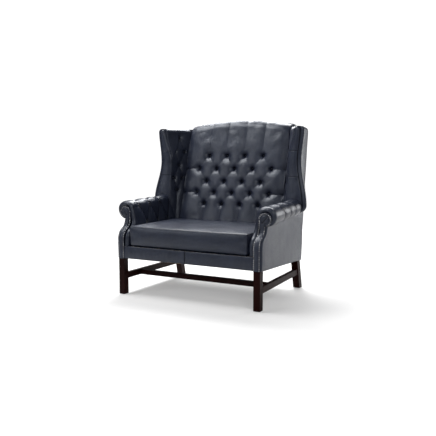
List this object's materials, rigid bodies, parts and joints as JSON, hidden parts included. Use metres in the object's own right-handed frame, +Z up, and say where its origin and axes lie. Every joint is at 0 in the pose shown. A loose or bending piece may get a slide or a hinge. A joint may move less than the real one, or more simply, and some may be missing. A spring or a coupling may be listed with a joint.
{
  "type": "high back settee",
  "caption": "Two-seat high back wing settee in dark buttoned leather, with rolled arms, a loose bench cushion and square stained legs.",
  "frame": {"origin": "middle of the footprint's bounding box, on the floor", "axes": "+Z up, +Y towards the back, +X towards the right arm seen from the front"},
  "size_m": [1.2198, 0.9, 1.203],
  "materials": {
    "navy_black_leather": "semi-gloss grained hide",
    "mahogany_stain": "dark mahogany stain, satin lacquer",
    "frame_beech": "planed, unfinished",
    "spring_steel": "oiled wire",
    "antique_nails": "antiqued, darkened heads",
    "zip_tape": "black",
    "black_cloth": "black lining cloth",
    "foam": "pale foam and wadding",
    "glide_plastic": "black"
  },
  "bodies": {
    "settee_frame": {"arm_buttons_left": "navy_black_leather", "arm_buttons_right": "navy_black_leather", "arm_facing_left": "navy_black_leather", "arm_facing_right": "navy_black_leather", "arm_front_post_left": "frame_beech", "arm_front_post_right": "frame_beech", "arm_rail_left": "frame_beech", "arm_rail_right": "frame_beech", "back_buttons": "navy_black_leather", "back_low_rail": "frame_beech", "back_seat_rail": "frame_beech", "back_webbing": "black_cloth", "corner_blocks": "frame_beech", "crest_piping": "navy_black_leather", "crest_rail": "frame_beech", "cross_stretcher": "mahogany_stain", "deck_edge_roll": "black_cloth", "dust_cover": "black_cloth", "facing_filler_left": "foam", "facing_filler_right": "foam", "facing_nails_left": "antique_nails", "facing_nails_right": "antique_nails", "foot_glides": "glide_plastic", "front_border_left": "navy_black_leather", "front_border_right": "navy_black_leather", "front_leg_left": "mahogany_stain", "front_leg_right": "mahogany_stain", "front_seat_rail": "frame_beech", "inside_arm_left": "navy_black_leather", "inside_arm_right": "navy_black_leather", "inside_back": "navy_black_leather", "inside_wing_left": "navy_black_leather", "inside_wing_right": "navy_black_leather", "outside_arm_left": "navy_black_leather", "outside_arm_right": "navy_black_leather", "outside_back": "navy_black_leather", "outside_wing_left": "navy_black_leather", "outside_wing_right": "navy_black_leather", "rear_leg_left": "mahogany_stain", "rear_leg_right": "mahogany_stain", "seat_deck": "black_cloth", "seat_springs": "spring_steel", "side_seat_rail_left": "frame_beech", "side_seat_rail_right": "frame_beech", "side_stretcher_left": "mahogany_stain", "side_stretcher_right": "mahogany_stain", "spring_clips": "spring_steel", "wing_border_left": "navy_black_leather", "wing_border_right": "navy_black_leather", "wing_buttons_left": "navy_black_leather", "wing_buttons_right": "navy_black_leather", "wing_frame_left": "frame_beech", "wing_frame_right": "frame_beech", "wing_upright_left": "frame_beech", "wing_upright_right": "frame_beech"},
    "seat_cushion": {"seat_cushion_core": "foam", "seat_cushion_cover": "navy_black_leather", "cushion_zip": "zip_tape"}
  },
  "joints": [
    {"name": "seat_cushion_lift", "type": "slide", "parent": "settee_frame", "child": "seat_cushion", "axis": [0, 0, 1], "range_m": [0, 0.25]}
  ]
}
